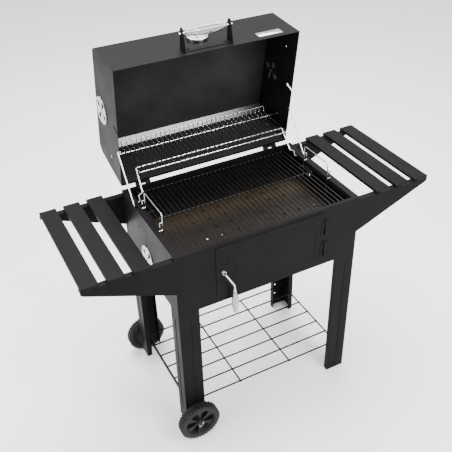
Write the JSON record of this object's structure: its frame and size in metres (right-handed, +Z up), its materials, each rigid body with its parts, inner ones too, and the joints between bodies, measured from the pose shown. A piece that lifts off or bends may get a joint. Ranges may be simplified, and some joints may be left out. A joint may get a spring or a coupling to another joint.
{
  "type": "charcoal cart grill",
  "caption": "Charcoal grill on a wheeled cart with a box hood, slatted side shelves, a linked warming rack and a hinged ash door.",
  "frame": {"origin": "floor level under the middle of the whole grill's bounding box, hood open", "axes": "+Z up, +X to the viewer's right when facing the ash door, front towards -Y"},
  "size_m": [1.296, 0.7392, 1.3598],
  "materials": {
    "powder_coat": "satin black powder coat",
    "powder_coat_frame": "satin black powder coat",
    "grate_enamel": "dark heat-proof coating",
    "chrome_wire": "bright plated wire",
    "chrome_trim": "bright plated steel",
    "pan_steel": "heat-browned steel",
    "black_wire": "black coated wire",
    "wheel_plastic": "moulded black plastic",
    "zinc": "zinc plated",
    "dial": "printed plain dial",
    "needle": "red lacquer",
    "glass": "clear",
    "badge": "satin"
  },
  "bodies": {
    "cart": {"front_panel": "powder_coat", "rear_panel": "powder_coat", "left_panel": "powder_coat", "right_panel": "powder_coat", "firebox_floor": "powder_coat_frame", "grate_rails": "powder_coat_frame", "cooking_grate": "grate_enamel", "firebox_damper_rivets": "zinc", "hood_hinge_box_leaves": "powder_coat_frame", "hinge_pins": "zinc", "door_hinge_box_leaves": "powder_coat_frame", "left_front_shelf_bracket": "powder_coat_frame", "left_rear_shelf_bracket": "powder_coat_frame", "right_front_shelf_bracket": "powder_coat_frame", "right_rear_shelf_bracket": "powder_coat_frame", "left_shelf_slats": "powder_coat_frame", "right_shelf_slats": "powder_coat_frame", "left_front_leg": "powder_coat_frame", "left_rear_leg": "powder_coat_frame", "right_front_leg": "powder_coat_frame", "right_rear_leg": "powder_coat_frame", "leg_bolts": "zinc", "bottom_shelf": "black_wire", "axle": "zinc", "split_pins": "zinc", "axle_washers": "zinc"},
    "hood": {"hood_skin": "powder_coat", "hood_left_side": "powder_coat", "hood_right_side": "powder_coat", "hood_damper_rivets": "zinc", "hood_hinge_hood_leaves": "powder_coat_frame", "handle_bracket": "powder_coat_frame", "handle_rod": "chrome_trim", "handle_grip": "chrome_trim", "handle_screws": "powder_coat_frame", "thermometer_case": "chrome_trim", "thermometer_dial": "dial", "thermometer_glass": "glass", "thermometer_stem": "zinc", "badge_plate": "badge"},
    "pointer": {"thermometer_needle": "needle"},
    "hood_shutter_left": {"hood_damper_left": "chrome_trim"},
    "hood_shutter_right": {"hood_damper_right": "chrome_trim"},
    "firebox_shutter_left": {"firebox_damper_left": "chrome_trim"},
    "firebox_shutter_right": {"firebox_damper_right": "chrome_trim"},
    "rack": {"warming_rack": "chrome_wire"},
    "rack_frame": {"rack_front_frame": "chrome_wire"},
    "stay_left": {"hood_stay_left": "chrome_wire"},
    "stay_right": {"hood_stay_right": "chrome_wire"},
    "pan": {"charcoal_pan": "pan_steel", "pan_bail_left": "chrome_wire", "pan_bail_right": "chrome_wire"},
    "door": {"ash_door": "powder_coat", "door_hinge_door_leaves": "powder_coat_frame", "door_handle_bush": "chrome_trim"},
    "door_handle": {"door_handle_rod": "chrome_trim", "door_handle_grip": "chrome_trim", "door_latch": "zinc"},
    "wheel_front": {"front_wheel": "wheel_plastic"},
    "wheel_rear": {"rear_wheel": "wheel_plastic"}
  },
  "joints": [
    {"name": "hood_hinge", "type": "hinge", "parent": "cart", "child": "hood", "pos_m": [0, 0.15642, 0.82], "axis": [1, 0, 0], "range_deg": [0, 82]},
    {"name": "rack_frame_hinge", "type": "hinge", "parent": "cart", "child": "rack_frame", "pos_m": [0, 0.05242, 0.8123], "axis": [1, 0, 0], "range_deg": [0, 82]},
    {"name": "rack_pivot", "type": "hinge", "parent": "hood", "child": "rack", "pos_m": [0, 0.22342, 0.9147], "axis": [1, 0, 0], "range_deg": [-82, 0]},
    {"name": "hood_stay_left_pivot", "type": "hinge", "parent": "hood", "child": "stay_left", "pos_m": [-0.341, 0.14406, 0.96903], "axis": [1, 0, 0], "range_deg": [-31, 0]},
    {"name": "hood_stay_right_pivot", "type": "hinge", "parent": "hood", "child": "stay_right", "pos_m": [0.341, 0.14406, 0.96903], "axis": [1, 0, 0], "range_deg": [-31, 0]},
    {"name": "door_hinge", "type": "hinge", "parent": "cart", "child": "door", "pos_m": [0.212, -0.31308, 0.703], "axis": [0, 0, 1], "range_deg": [0, 110]},
    {"name": "door_handle_turn", "type": "hinge", "parent": "door", "child": "door_handle", "pos_m": [-0.181, -0.31358, 0.7], "axis": [0, -1, 0], "range_deg": [0, 90]},
    {"name": "firebox_damper_left_turn", "type": "hinge", "parent": "cart", "child": "firebox_shutter_left", "pos_m": [-0.351, -0.06558, 0.653], "axis": [1, 0, 0], "range_deg": [-36.5, 8.5]},
    {"name": "firebox_damper_right_turn", "type": "hinge", "parent": "cart", "child": "firebox_shutter_right", "pos_m": [0.351, -0.06558, 0.653], "axis": [1, 0, 0], "range_deg": [-36.5, 8.5]},
    {"name": "hood_damper_left_turn", "type": "hinge", "parent": "hood", "child": "hood_shutter_left", "pos_m": [-0.343, 0.27889, 1.06947], "axis": [1, 0, 0], "range_deg": [-9, 36]},
    {"name": "hood_damper_right_turn", "type": "hinge", "parent": "hood", "child": "hood_shutter_right", "pos_m": [0.343, 0.27889, 1.06947], "axis": [1, 0, 0], "range_deg": [-45, 0]},
    {"name": "thermometer_pointer_turn", "type": "hinge", "parent": "hood", "child": "pointer", "pos_m": [-0.004, 0.19378, 1.29068], "axis": [0, -0.0798, 0.9968], "range_deg": [-270, 0]},
    {"name": "pan_lift", "type": "slide", "parent": "cart", "child": "pan", "axis": [0, 0, 1], "range_m": [0, 0.03]},
    {"name": "front_wheel_spin", "type": "hinge", "parent": "cart", "child": "wheel_front", "pos_m": [-0.317, -0.34258, 0.0785], "axis": [0, 1, 0], "continuous": true},
    {"name": "rear_wheel_spin", "type": "hinge", "parent": "cart", "child": "wheel_rear", "pos_m": [-0.317, 0.17542, 0.0785], "axis": [0, 1, 0], "continuous": true}
  ],
  "couplings": [
    {"joint": "rack_frame_hinge", "follows": "hood_hinge", "ratio": 1},
    {"joint": "rack_pivot", "follows": "hood_hinge", "ratio": -1},
    {"joint": "hood_stay_left_pivot", "follows": "hood_hinge", "ratio": -0.37},
    {"joint": "hood_stay_right_pivot", "follows": "hood_hinge", "ratio": -0.37}
  ]
}
